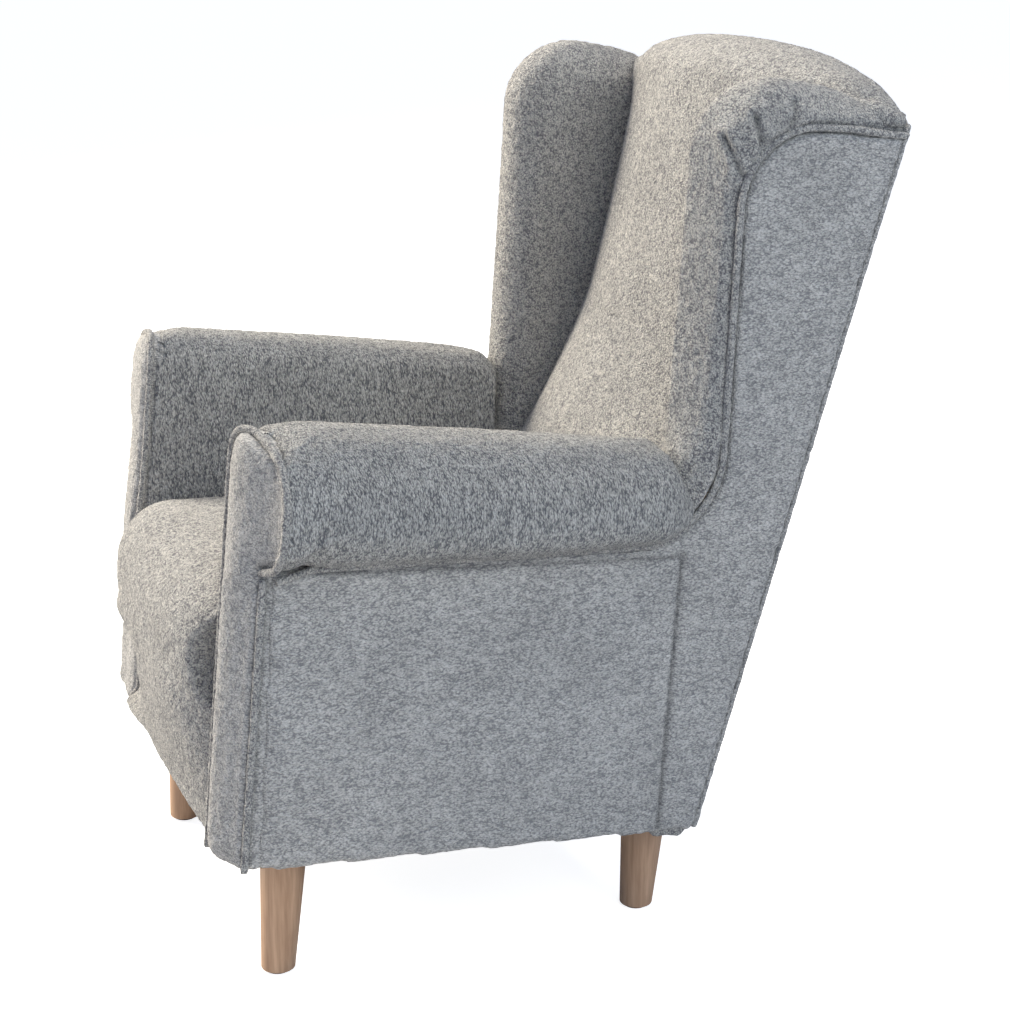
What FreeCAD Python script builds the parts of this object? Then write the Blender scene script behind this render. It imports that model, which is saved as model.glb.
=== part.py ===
"""Upholstered wing armchair: timber frame, springs, padding, sewn covers, piping and turned legs.

All sizes are in millimetres. The pieces are built in the body's own frame: X across (the sitter's
left is +X), Y to the rear, Z up from the underside of the body. At the end the whole body leans back
on its shorter rear legs, so that the leg glides stand on the floor at Z = 0.
"""
import FreeCAD, Part
import math
import os

Vector = FreeCAD.Vector

# Overall body
seat_width = 490.0            # clear width between the arms
arm_wall = 84.5               # thickness of an arm and of a wing, cloth to cloth
arm_front = -352.0            # arm front's seam at the inner edge, along the underside
base_depth = 565.5            # side panel's front seam to the outside back, along the underside
back_rake = 12.7              # lean of the outside back, degrees
cloth = 3.0                   # pile fabric with its backing
side_felt = 8.5               # padding under the outer side panels
fit = 0.3                     # clearance between pieces that meet
overcut = 5.0                 # cutting shapes reach this far past what they cut

# Arms
arm_height_front = 507.0      # highest line of the arm roll, near its inner side
arm_height_middle = 491.0
arm_height_wing = 476.0
arm_top_fall = 12.0           # fall of the roll's top towards its outer side, degrees
roll_depth_front = 150.0      # top of the roll to the seam under it
roll_depth_middle = 133.0
roll_depth_wing = 107.0
roll_depth_end = 28.0
roll_end_drop = 54.0          # the roll's top falls this much between the wing's edge and its end
roll_overhang_front = 58.5    # how far the roll stands out past the side panel
roll_overhang_middle = 52.0
roll_overhang_wing = 34.0
roll_overhang_end = 3.0
roll_middle_share = 0.58      # where the middle outline lies between the arm front and the wing
roll_wing_ahead = 18.0        # the outline ahead of the wing's front
roll_end_behind = 27.0        # the roll's end behind the wing's front
roll_inner_round = 0.5        # the roll's corner rounds, as shares of what its outline has room for
roll_outer_round = 0.9
roll_lower_round = 0.36       # the lower round, as a share of the roll's height
roll_lower_reach = 0.8        # and at most this share of its overhang
roll_under_rise = 0.07        # the roll's underside rises outwards by this share of its height
facing_turn = 7.0             # how far the arm front turns outwards, degrees
facing_lean = 1.4             # how far the arm front leans back, degrees
facing_bulge = 15.0           # pillow height of the arm front
facing_steps = [(0.0, 0.0), (0.03, 0.36), (0.1, 0.6), (0.2, 0.8), (0.33, 0.94)]
arm_tuck = 190.0              # height where the arm's cloth is tucked in beside the seat

# Wings
wing_foot_depth = 62.5        # front of the wing's padded edge, ahead of the outside back's foot
wing_top = 919.0              # height of the wing's top line over its front edge
wing_top_slope = 10.5         # fall of that line to the rear, degrees
wing_corner_radius = 92.0
wing_edge_radius = 40.0       # round of the padded edge
wing_pad = 34.0               # padding on the wing board's front edge
wing_top_pad = 40.0
welt_set_back = 56.0          # the wing's piping behind the wing's front
welt_set_back_top = 44.0
welt_drop = 71.0              # the piping's top run under the wing's top line
welt_low_radius = 100.0
welt_top_radius = 90.0
side_seam_set_back = 11.0     # upright seam in the outer side, under the wing

# Seat
seat_side_top = 271.0         # cushion height along the arms
seat_crown = 25.0             # extra height in the middle
seat_fall = 24.0              # fall of the seat's top to the rear
seat_rear_round = 18.0
seat_bow = 6.0                # slight doming of the seat's top from front to rear
seat_bow_ahead = 170.0
seat_bow_radius = 500.0
nose_overhang = 13.0          # seat front beside the arms, ahead of the arm front's seam
nose_full = 26.0              # extra fullness of the seat front in the middle
nose_drop = 145.0             # the nose turns back this far under its top
nose_radius = 72.0
nose_under_radius = 120.0
nose_pinch = 22.0             # the apron is drawn in at each end, beside the arm
apron_overhang = 2.0         # apron at the underside, ahead of the arm front's seam
seat_shoulder = 0.8           # share of the half width where the drawn-in ends begin
seat_shoulder_full = 0.7      # fullness and pinch there, against the middle and the ends
seat_shoulder_pinch = 0.15

# Back
back_low_depth = 130.0        # inside back over the seat, ahead of the outside back's foot
back_mid_set_back = 11.0       # inside back at mid height, behind that foot
back_mid_z = 560.0
back_high_set_back = 62.0
back_high_drop = 31.0         # height of the upper point under the crest
back_low_bow = 10.0           # hollow of the lower inside back
back_high_bow = 3.0
back_crown = 52.0             # fullness in the middle against the sides
crest_rise = 4.0              # top of the crest over the wing's top line
crest_set_back = 168.0        # crest's highest line behind the outside back's foot
crest_fall = 36.0             # the crest is this much lower beside the wings
crest_rear_drop = 24.0        # the crest's cloth turns over the rear edge by this much
crest_front_round = 0.7       # how full the crest's front and rear rounds are, as shares of their height
crest_rear_round = 0.75
back_shoulder = 0.72          # share of the half width where the back begins to fall away
back_shoulder_slack = 0.42    # slack and fall there, against the ends
back_shoulder_fall = 0.3

# Timber frame
rail_height = 140.0
rail_thickness = 25.0
post_width = 45.0
post_depth = 42.0
back_post_depth = 45.0
board_thickness = 18.0
board_set_back = 34.0         # arm boards and front rail behind the arm front's seam
board_under_top = 18.0        # arm board's scroll under the roll's top
board_over_seam = 30.0
board_in_arm = 16.0
board_in_roll = 34.0
board_step = 12.0
board_round = 0.42            # scroll's corner radius as a share of its height
arm_rail_height = 22.0
arm_rail_top = 432.0
frame_drop = 61.0             # the frame's top under the wing's top line
top_rail_height = 80.0
lumbar_rail_height = 50.0
block_length = 75.0
block_depth = 60.0
block_height = 40.0

# Suspension
spring_wire = 3.6
spring_count = 5
spring_spacing = 88.0
spring_bar = 36.0
spring_pitch = 22.0
clip_height = 8.0
clip_size = 16.0
felt_thickness = 3.0
webbing_count = 5
webbing_width = 50.0
webbing_spacing = 92.0
webbing_thickness = 2.0
dust_cloth = 1.0

# Piping
welt_diameter = 7.0

# Legs
leg_x = 234.7
front_leg_y = -267.0
rear_leg_y = 199.3
front_leg_length = 172.0
rear_leg_length = 138.8
leg_top_diameter = 57.0
leg_foot_diameter = 40.0
leg_foot_round = 2.5
plate_size = 46.0
plate_thickness = 2.0
bolt_diameter = 8.0
bolt_in_leg = 40.0
bolt_in_frame = 30.0
glide_diameter = 28.0
glide_thickness = 3.0

# Values worked out from the ones above
inner_x = seat_width / 2
outer_x = inner_x + arm_wall
frame_out = outer_x - cloth - side_felt
frame_in = frame_out - post_width
rake = math.tan(math.radians(back_rake))
turn_slope = math.tan(math.radians(facing_turn))
lean_slope = math.tan(math.radians(facing_lean))
top_slope = math.tan(math.radians(arm_top_fall))
rear_foot = arm_front + turn_slope * arm_wall + base_depth
board_front = arm_front + board_set_back
web_offset = cloth + back_post_depth
pad_offset = web_offset + webbing_thickness
wing_front = rear_foot - wing_foot_depth
wing_bottom = arm_tuck
frame_top = wing_top - frame_drop
crest_top = wing_top + crest_rise
welt_top = wing_top - welt_drop
roll_seam_front = arm_height_front - roll_depth_front
roll_seam_wing = arm_height_wing - roll_depth_wing
side_seam = wing_front + side_seam_set_back
back_low_y = rear_foot - back_low_depth
far = 400.0
sides = {"left": 1, "right": -1}


def rear_y(height, offset=0.0):
    """The outside back's plane at a height, or a plane this far in front of it."""
    return rear_foot + rake * height - offset


def rounded_edges(corners, closed):
    """Lines and tangent arcs through corners, each a point with a radius."""
    points = [point for point, radius in corners]
    count = len(corners)
    ends = []
    arcs = []
    for index, (point, radius) in enumerate(corners):
        at_end = not closed and index in (0, count - 1)
        if radius <= 0 or at_end:
            ends.append((point, point))
            arcs.append(None)
            continue
        to_last = (points[index - 1] - point).normalize()
        to_next = (points[(index + 1) % count] - point).normalize()
        half = to_last.getAngle(to_next) / 2
        start = point + to_last * (radius / math.tan(half))
        end = point + to_next * (radius / math.tan(half))
        centre = point + (to_last + to_next).normalize() * (radius / math.sin(half))
        middle = centre + (point - centre).normalize() * radius
        ends.append((start, end))
        arcs.append(Part.Arc(start, middle, end).toShape())
    edges = []
    for index in range(count):
        if arcs[index]:
            edges.append(arcs[index])
        if not closed and index == count - 1:
            break
        edges.append(Part.LineSegment(ends[index][1], ends[(index + 1) % count][0]).toShape())
    return edges


def outline(corners):
    return Part.Wire(rounded_edges(corners, True))


def route(corners):
    return Part.Wire(rounded_edges(corners, False))


def side_shape(corners, x_low, x_high):
    """A shape seen from the side, given as (y, z, radius) corners, made solid from x_low to x_high."""
    wire = outline([(Vector(x_low, y, z), radius) for y, z, radius in corners])
    return Part.Face(wire).extrude(Vector(x_high - x_low, 0, 0))


def block(x_low, x_high, y_low, y_high, z_low, z_high):
    return Part.makeBox(x_high - x_low, y_high - y_low, z_high - z_low, Vector(x_low, y_low, z_low))


def raked_slab(front, rear, z_low, z_high, x_low, x_high):
    """A slab that leans with the outside back, between two distances in front of it."""
    corners = [(rear_y(z_low, front), z_low, 0), (rear_y(z_low, rear), z_low, 0),
               (rear_y(z_high, rear), z_high, 0), (rear_y(z_high, front), z_high, 0)]
    return side_shape(corners, x_low, x_high)


def tube(path_corners, diameter):
    path = route(path_corners)
    start = path.Edges[0].Vertexes[0].Point
    direction = (path.Edges[0].Vertexes[1].Point - start).normalize()
    ring = Part.Wire(Part.makeCircle(diameter / 2, start, direction))
    return path.makePipeShell([ring], True, False)


# Arm: outlines across its length

def arm_outline(place, top, depth, overhang, inset, low=0.0):
    """Closed outline of an arm; place(x, z) puts it on its plane."""
    x_in = inner_x + inset
    x_side = outer_x - inset
    x_roll = outer_x + overhang - inset
    under = top - depth + inset
    roll_height = depth - 2 * inset
    roll_width = x_roll - x_in
    rounding = roll_height * roll_width / (roll_height + roll_width)
    inner_round = roll_inner_round * rounding
    outer_round = roll_outer_round * rounding
    lower_round = min(roll_lower_round * roll_height, roll_lower_reach * (x_roll - x_side))
    slope = top_slope * overhang / roll_overhang_front
    high = top - inset + inner_round * (slope + math.hypot(1, slope) - 1)
    return [(place(x_in, low), 0), (place(x_in, high), inner_round),
            (place(x_roll, high - slope * roll_width), outer_round),
            (place(x_roll, under + roll_under_rise * roll_height), lower_round),
            (place(x_side, under), 0), (place(x_side, low), 0)]


def facing_plane(x, z, forward=0.0):
    """A point on the slightly turned and leaning plane of the arm front's seam, or ahead of it."""
    return Vector(x, arm_front + turn_slope * (x - inner_x) + lean_slope * z - forward, z)


def side_front(height):
    """Front edge of the outer side panel at a height."""
    return facing_plane(outer_x, height).y


def front_outline(inset, forward, low=0.0):
    return arm_outline(lambda x, z: facing_plane(x, z, forward), arm_height_front,
                       roll_depth_front, roll_overhang_front, inset, low)


def arm_form(inset, ends, low):
    """The whole arm with its roll, inset from the cloth; ends carries it past its two ends."""
    middle_y = side_front(0) + roll_middle_share * (wing_front - side_front(0))
    end_top = arm_height_wing - roll_end_drop
    stations = [(middle_y, arm_height_middle, roll_depth_middle, roll_overhang_middle),
                (wing_front - roll_wing_ahead, arm_height_wing, roll_depth_wing, roll_overhang_wing),
                (wing_front + roll_end_behind + ends, end_top, roll_depth_end, roll_overhang_end)]
    wires = [outline(front_outline(inset, ends, low))]
    for y, top, depth, overhang in stations:
        wires.append(outline(arm_outline(lambda x, z, y=y: Vector(x, y, z), top, depth, overhang, inset, low)))
    return Part.makeLoft(wires, True, True)


def facing_pillow(inset, start, bulge):
    """Domed arm front: its outline shrinks and comes forward in steps."""
    wires = []
    for share, height in facing_steps:
        step_in = inset + share * arm_wall
        wires.append(outline(front_outline(step_in, start + height * (bulge - start), step_in)))
    return Part.makeLoft(wires, True, True)


# Wing: outline from the side

def wing_form(inset, past_rear, low):
    fall = math.tan(math.radians(wing_top_slope))
    front = wing_front + inset
    top_front = wing_top - inset
    rear_low = rear_y(low) + past_rear
    rear_top_z = (top_front - fall * (rear_foot + past_rear - front)) / (1 + fall * rake)
    corners = [(front, low, 0), (front, top_front, wing_corner_radius - inset),
               (rear_y(rear_top_z) + past_rear, rear_top_z, 0), (rear_low, low, 0)]
    body = side_shape(corners, inner_x + inset, outer_x - inset)
    rounded = [edge for edge in body.Edges if on_padded_edge(edge, front, rear_top_z)]
    return body.makeFillet(wing_edge_radius - inset, rounded)


def on_padded_edge(edge, front, rear_top_z):
    """The front and top edges of the wing, along both of its faces."""
    box = edge.BoundBox
    slack = fit / 10
    along_face = box.XLength < slack
    at_front = box.YMax < front + slack
    over_top = box.ZMin > rear_top_z - slack or (box.YMin < front + slack and box.ZMax > rear_top_z)
    return along_face and (at_front or over_top)


# Flat outer side: the wing's piping and the seam under the roll bound it

def welt_corners(start_y, drop=0.0):
    """Corners of the seam under the roll and round the wing, as (y, z, radius)."""
    end_z = welt_top - drop
    return [(start_y, roll_seam_front - drop, 0),
            (wing_front + welt_set_back + drop, roll_seam_wing - drop, welt_low_radius + drop),
            (wing_front + welt_set_back_top + drop, end_z, welt_top_radius - drop),
            (rear_y(end_z), end_z, 0)]


def side_outline(front_top, front_foot, rear_offset, drop):
    """Outline of the whole flat outer side, from its front edge to the outside back."""
    corners = welt_corners(front_top, drop)
    end_z = corners[-1][1]
    corners[-1] = (rear_y(end_z, rear_offset), end_z, 0)
    return corners + [(rear_y(0, rear_offset), 0, 0), (front_foot, 0, 0)]


def side_zone():
    """Room of the flat outer side with its padding, past its front and rear edges."""
    front = side_front(0) - board_set_back
    corners = side_outline(front, front, -overcut, 0)
    return side_shape(corners, frame_out, outer_x + fit)


# Seat and back: outlines from the side, lofted across the chair

def seat_outline(x, fullness, pinch, inset):
    """Side outline of the seat at x; fullness runs from 0 beside the arms to 1 in the middle."""
    top = seat_side_top + seat_crown * fullness - inset
    rear = back_low_y - fit
    nose = arm_front - nose_overhang - nose_full * fullness + inset
    foot = arm_front - apron_overhang + inset + pinch / 4
    base = rail_height + clip_height + felt_thickness
    corners = [(rear, base, 0), (rear, top - seat_fall, seat_rear_round),
               (rear_foot - wing_foot_depth - 2 * seat_bow_ahead, top + seat_bow, seat_bow_radius),
               (nose, top, nose_radius - inset), (nose + pinch, top - nose_drop, nose_under_radius),
               (foot, 0, 0), (board_front, 0, 0), (board_front, base, 0)]
    return outline([(Vector(x, y, z), radius) for y, z, radius in corners])


def seat_form(inset):
    edge = inner_x - fit
    shoulder = seat_shoulder * edge
    half = [(edge, 0, 1), (shoulder, seat_shoulder_full, seat_shoulder_pinch)]
    stations = [(-x, full, pinch) for x, full, pinch in half] + [(0, 1, 0)] + half[::-1]
    wires = [seat_outline(x, full, nose_pinch * pinch, inset) for x, full, pinch in stations]
    return Part.makeLoft(wires, True, False)


def blend(start, end, share_y, share_z):
    """A point between two others in one side plane, with its own share along each axis."""
    return Vector(start.x, start.y + share_y * (end.y - start.y), start.z + share_z * (end.z - start.z))


def back_outline(x, slack_share, fall_share, inset, past_rear):
    """Side outline of the back at x; the shares run from 0 in the middle to 1 beside the wings."""
    slack = back_crown * slack_share + inset
    top_z = crest_top - crest_fall * fall_share
    turn_z = top_z - crest_rear_drop
    high_z = top_z - back_high_drop
    low = seat_side_top
    front_low = Vector(x, back_low_y + inset, arm_tuck)
    front_seat = Vector(x, back_low_y + slack, low)
    front_mid = Vector(x, rear_foot + back_mid_set_back + slack, back_mid_z)
    front_high = Vector(x, rear_foot + back_high_set_back + slack, high_z)
    crest = Vector(x, rear_foot + crest_set_back, top_z - inset)
    rear_turn = Vector(x, rear_y(turn_z) + past_rear, turn_z)
    rear_low = Vector(x, rear_y(arm_tuck) + past_rear, arm_tuck)
    low_bow = (front_seat + front_mid) / 2 + Vector(0, back_low_bow, 0)
    high_bow = (front_mid + front_high) / 2 + Vector(0, back_high_bow, 0)
    front_round = blend(front_high, crest, 1 - crest_front_round, crest_front_round)
    rear_round = blend(rear_turn, crest, 1 - crest_front_round, crest_rear_round)
    edges = [Part.LineSegment(front_low, front_seat).toShape(),
             Part.Arc(front_seat, low_bow, front_mid).toShape(),
             Part.Arc(front_mid, high_bow, front_high).toShape(),
             Part.Arc(front_high, front_round, crest).toShape(),
             Part.Arc(crest, rear_round, rear_turn).toShape(),
             Part.LineSegment(rear_turn, rear_low).toShape(),
             Part.LineSegment(rear_low, front_low).toShape()]
    return Part.Wire(edges)


def back_form(inset, past_rear):
    edge = inner_x - fit
    half = [(1, 1, 1), (back_shoulder, back_shoulder_slack, back_shoulder_fall)]
    stations = [(-x, slack, fall) for x, slack, fall in half] + [(0, 0, 0)] + half[::-1]
    wires = [back_outline(x * edge, slack, fall, inset, past_rear) for x, slack, fall in stations]
    return Part.makeLoft(wires, True, False)


parts = {}


def both_sides(name, shape):
    """A piece of the sitter's left side and its mirror image on the right."""
    parts[name + "_left"] = shape
    parts[name + "_right"] = shape.mirror(Vector(0, 0, 0), Vector(1, 0, 0))


# Timber frame

def make_frame():
    parts["front_rail"] = block(-frame_in, frame_in, board_front, board_front + rail_thickness, 0, rail_height)
    parts["rear_rail"] = raked_slab(cloth, web_offset, 0, rail_height, -frame_in, frame_in)
    parts["lumbar_rail"] = raked_slab(cloth, web_offset, arm_tuck, arm_tuck + lumbar_rail_height,
                                      -frame_in, frame_in)
    parts["top_rail"] = raked_slab(cloth, web_offset, frame_top - top_rail_height, frame_top,
                                   -frame_in, frame_in)
    both_sides("back_post", raked_slab(cloth, web_offset, 0, frame_top, frame_in, frame_out))

    post_front = board_front + board_thickness
    post_rear = post_front + post_depth
    arm_rail_low = arm_rail_top - arm_rail_height
    both_sides("front_post", block(frame_in, frame_out, post_front, post_rear, 0, arm_rail_low))
    side_rail = side_shape([(post_rear, 0, 0), (rear_y(0, web_offset), 0, 0),
                            (rear_y(rail_height, web_offset), rail_height, 0),
                            (post_rear, rail_height, 0)], frame_out - rail_thickness, frame_out)
    both_sides("side_rail", side_rail)
    arm_rail = side_shape([(post_front, arm_rail_low, 0), (rear_y(arm_rail_low, web_offset), arm_rail_low, 0),
                           (rear_y(arm_rail_top, web_offset), arm_rail_top, 0),
                           (post_front, arm_rail_top, 0)], frame_in, frame_out)
    both_sides("arm_rail", arm_rail)

    scroll_low = roll_seam_front + board_over_seam
    scroll_top = arm_height_front - board_under_top
    scroll_in = inner_x + board_in_arm
    scroll_out = outer_x + roll_overhang_front - board_in_roll
    scroll_round = board_round * (scroll_top - scroll_low)
    corners = [(frame_in, 0, 0), (frame_in, scroll_low, 0), (scroll_in, scroll_low + board_step, 0),
               (scroll_in, scroll_top, scroll_round), (scroll_out, scroll_top, scroll_round),
               (scroll_out, scroll_low, scroll_round / 2), (frame_out, scroll_low, 0), (frame_out, 0, 0)]
    wire = outline([(Vector(x, board_front, z), radius) for x, z, radius in corners])
    both_sides("arm_board", Part.Face(wire).extrude(Vector(0, board_thickness, 0)))

    board_top = wing_top - wing_top_pad
    board_rear = rear_y(frame_top, web_offset)
    corners = [(wing_front + wing_pad, arm_rail_top, 0),
               (wing_front + wing_pad, board_top, wing_corner_radius - wing_pad),
               (board_rear, frame_top, 0), (rear_y(arm_rail_top, web_offset), arm_rail_top, 0)]
    both_sides("wing_board", side_shape(corners, frame_out - board_thickness, frame_out))

    front_block = block(frame_in - block_length, frame_in, board_front + rail_thickness,
                        board_front + rail_thickness + block_depth, 0, block_height)
    rear_block = side_shape([(rear_y(0, web_offset) - block_depth, 0, 0), (rear_y(0, web_offset), 0, 0),
                             (rear_y(block_height, web_offset), block_height, 0),
                             (rear_y(0, web_offset) - block_depth, block_height, 0)],
                            frame_in - block_length, frame_in)
    blocks = []
    for piece in (front_block, rear_block):
        blocks.append(piece)
        blocks.append(piece.mirror(Vector(0, 0, 0), Vector(1, 0, 0)))
    parts["corner_blocks"] = Part.makeCompound(blocks)


# Springs, felt, webbing and the cloth under the seat

def zigzag(centre_x, first_y, last_y, height):
    """Path of one sinuous spring: straight bars joined by half turns."""
    bars = int((last_y - first_y) / spring_pitch) + 1
    pitch = (last_y - first_y) / (bars - 1)
    half = spring_bar / 2
    turn = pitch / 2
    edges = []
    for index in range(bars):
        y = first_y + index * pitch
        side = 1 if index % 2 == 0 else -1
        start = Vector(centre_x - side * half, y, height)
        end = Vector(centre_x + side * half, y, height)
        edges.append(Part.LineSegment(start, end).toShape())
        if index < bars - 1:
            far_side = Vector(centre_x + side * (half + turn), y + turn, height)
            bend = turn * math.sin(math.radians(45))
            first_bow = Vector(end.x + side * bend, y + turn - bend, height)
            last_bow = Vector(end.x + side * bend, y + turn + bend, height)
            end_next = Vector(end.x, y + pitch, height)
            edges.append(Part.Arc(end, first_bow, far_side).toShape())
            edges.append(Part.Arc(far_side, last_bow, end_next).toShape())
    return Part.Wire(edges)


def make_suspension():
    wire_z = rail_height + clip_height - spring_wire / 2
    first_y = board_front + rail_thickness / 2
    last_y = rear_y(rail_height, cloth + back_post_depth / 2)
    springs = []
    clips = []
    for index in range(spring_count):
        x = (index - (spring_count - 1) / 2) * spring_spacing
        path = zigzag(x, first_y, last_y, wire_z)
        start = path.Edges[0].Vertexes[0].Point
        ring = Part.Wire(Part.makeCircle(spring_wire / 2, start, Vector(1, 0, 0)))
        springs.append(path.makePipeShell([ring], True, False))
        for y in (first_y, last_y):
            clip = block(x - clip_size / 2, x + clip_size / 2, y - clip_size / 3, y + clip_size / 3,
                         rail_height, rail_height + clip_height - fit)
            bore = Part.makeCylinder(spring_wire / 2 + fit, 2 * clip_size,
                                     Vector(x - clip_size, y, wire_z), Vector(1, 0, 0))
            clips.append(clip.cut(bore))
    parts["seat_springs"] = Part.makeCompound(springs)
    parts["spring_clips"] = Part.makeCompound(clips)

    felt_low = rail_height + clip_height
    parts["seat_insulator"] = block(-inner_x, inner_x, board_front, back_low_y - fit,
                                    felt_low, felt_low + felt_thickness)
    strips = []
    for index in range(webbing_count):
        x = (index - (webbing_count - 1) / 2) * webbing_spacing
        strips.append(raked_slab(web_offset, pad_offset, arm_tuck, frame_top,
                                 x - webbing_width / 2, x + webbing_width / 2))
    parts["back_webbing"] = Part.makeCompound(strips)


# Padding and covers

def make_seat(front_welts):
    outer = seat_form(0)
    inner = seat_form(cloth)
    wrap = inner.fuse(block(-inner_x, inner_x, board_front, far, 0, arm_tuck))
    parts["seat_foam"] = inner.cut(front_welts)
    parts["seat_cover"] = outer.cut(wrap).cut(front_welts)


def make_back():
    edge = inner_x
    turn_z = crest_top - crest_fall - crest_rear_drop
    behind = raked_slab(-far, pad_offset, 0, frame_top + fit, -edge, edge)
    parts["back_foam"] = back_form(cloth, -cloth).cut(behind)
    skin = back_form(0, 0).cut(back_form(cloth, -cloth))
    tail = raked_slab(-far, pad_offset, 0, turn_z, -edge, edge)
    floor = block(-edge, edge, 0, far, 0, arm_tuck + 2 * cloth)
    parts["inside_back_cover"] = skin.cut(tail).cut(floor)


def make_arms(arm_welt, side_welt, wing_welt):
    form_outer = arm_form(0, 0, 0)
    form_inner = arm_form(cloth, fit, -overcut)
    flat_side = side_zone()
    wing_zone = side_shape([(wing_front, wing_bottom, 0), (wing_front, wing_top, 0),
                            (far, wing_top, 0), (far, wing_bottom, 0)], 0, outer_x)
    below = block(0, frame_out, -far, far, -far, arm_tuck)
    welts = arm_welt.fuse(side_welt).fuse(wing_welt)
    cover = form_outer.cut(form_inner).cut(flat_side).cut(wing_zone).cut(below).cut(welts)
    both_sides("arm_cover", largest(cover))

    timber = block(frame_in, frame_out, -far, far, -far, arm_rail_top)
    facing_zone = block(0, far, -far, board_front, -far, wing_top)
    foam = arm_form(cloth, 0, rail_height + clip_height).cut(flat_side).cut(wing_zone).cut(timber).cut(facing_zone)
    foam = foam.cut(parts["arm_board_left"]).cut(welts)
    both_sides("arm_foam", largest(foam))

    pillow = facing_pillow(0, 0, facing_bulge)
    core = facing_pillow(cloth + fit, -cloth / 2, facing_bulge - cloth)
    both_sides("arm_facing", largest(pillow.cut(core).cut(welts)))
    wedge = arm_form(cloth, 0, 0).common(facing_zone)
    both_sides("facing_pad", largest(wedge.fuse(core).cut(welts)))


def make_sides(side_welt, wing_welt):
    corners = side_outline(board_front, board_front, cloth, cloth / 2)
    both_sides("side_padding", side_shape(corners, frame_out, outer_x - cloth).cut(wing_welt))

    corners = side_outline(side_front(roll_seam_front), side_front(0), cloth, 0)
    flat = side_shape(corners, outer_x - cloth, outer_x)
    flat = flat.cut(side_welt).cut(wing_welt)
    ahead = block(0, far, -far, side_seam, -far, wing_top)
    both_sides("side_panel", largest(flat.common(ahead)))
    both_sides("outer_wing_panel", largest(flat.cut(ahead)))


def make_wings(wing_welt):
    flat_side = side_zone()
    skin = wing_form(0, 0, wing_bottom).cut(wing_form(cloth, overcut, wing_bottom - overcut))
    rear_cloth = raked_slab(-far, cloth, 0, frame_top, 0, far)
    frame_zone = raked_slab(-far, web_offset, 0, frame_top, 0, frame_in)
    skin = skin.cut(frame_zone).cut(rear_cloth)
    both_sides("wing_cover", largest(skin.cut(flat_side).cut(wing_welt)))

    post = raked_slab(-far, web_offset, 0, frame_top, 0, frame_out)
    rail = block(frame_in, frame_out, 0, far, 0, arm_rail_top)
    foam = wing_form(cloth, -cloth, wing_bottom).cut(flat_side).cut(post).cut(rear_cloth).cut(rail)
    foam = foam.cut(parts["wing_board_left"]).cut(wing_welt)
    both_sides("wing_foam", largest(foam))


def largest(shape):
    """The main solid of a cut, without slivers."""
    return max(shape.Solids, key=lambda solid: solid.Volume)


def make_welts():
    """Piping, and slightly thicker copies that make room for it in the covers and padding."""
    middle = cloth / 2
    x = outer_x - middle
    arm = front_outline(middle, middle)[:-1]
    under_roll = arm.pop()[0]
    arm.append((under_roll - Vector(0, 0, welt_diameter), 0))
    upright_top = roll_seam_front - 2 * welt_diameter
    upright = [(Vector(x, side_front(0) + middle, 0), 0),
               (Vector(x, side_front(upright_top) + middle, upright_top), 0)]
    wing_start = side_front(roll_seam_front) + 2 * welt_diameter
    wing = [(Vector(x, y, z), radius) for y, z, radius in welt_corners(wing_start)]
    rooms = {}
    for name, path in (("arm_front_welt", arm), ("side_front_welt", upright), ("wing_arm_welt", wing)):
        both_sides(name, tube(path, welt_diameter))
        rooms[name] = tube(path, welt_diameter + 2 * fit)
    return rooms


# Legs and what fixes them

def make_legs():
    plates = []
    bolts = []
    cuts = []
    for leg_name, y, length in (("front_leg", front_leg_y, front_leg_length),
                                ("rear_leg", rear_leg_y, rear_leg_length)):
        for side, sign in sides.items():
            x = sign * leg_x
            bolt_top = Vector(x, y, bolt_in_frame)
            bolt_length = bolt_in_frame + plate_thickness + bolt_in_leg
            bolts.append(Part.makeCylinder(bolt_diameter / 2, bolt_length, bolt_top, Vector(0, 0, -1)))
            room = Part.makeCylinder(bolt_diameter / 2 + fit, bolt_length + 2 * fit,
                                     bolt_top + Vector(0, 0, fit), Vector(0, 0, -1))
            cuts.append(room)
            plate = block(x - plate_size / 2, x + plate_size / 2, y - plate_size / 2, y + plate_size / 2,
                          -plate_thickness, 0)
            plates.append(plate.cut(room))
            extra = leg_top_diameter / 4
            shrink = (leg_top_diameter - leg_foot_diameter) / length / 2
            leg = Part.makeCone(leg_top_diameter / 2, leg_foot_diameter / 2 - shrink * extra, length + extra,
                                Vector(x, y, -plate_thickness), Vector(0, 0, -1))
            parts[leg_name + "_" + side] = leg.cut(room)
    parts["leg_plates"] = Part.makeCompound(plates)
    parts["leg_bolts"] = Part.makeCompound(bolts)
    room = Part.makeCompound(cuts)
    for name in ("corner_blocks", "rear_rail"):
        parts[name] = parts[name].cut(room)
    sheet = block(-frame_out, frame_out, board_front, rear_y(0, cloth), -dust_cloth, 0)
    for plate in plates:
        sheet = sheet.cut(plate)
    parts["dust_cover"] = sheet.cut(room)


# The body leans back on its shorter rear legs

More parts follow.
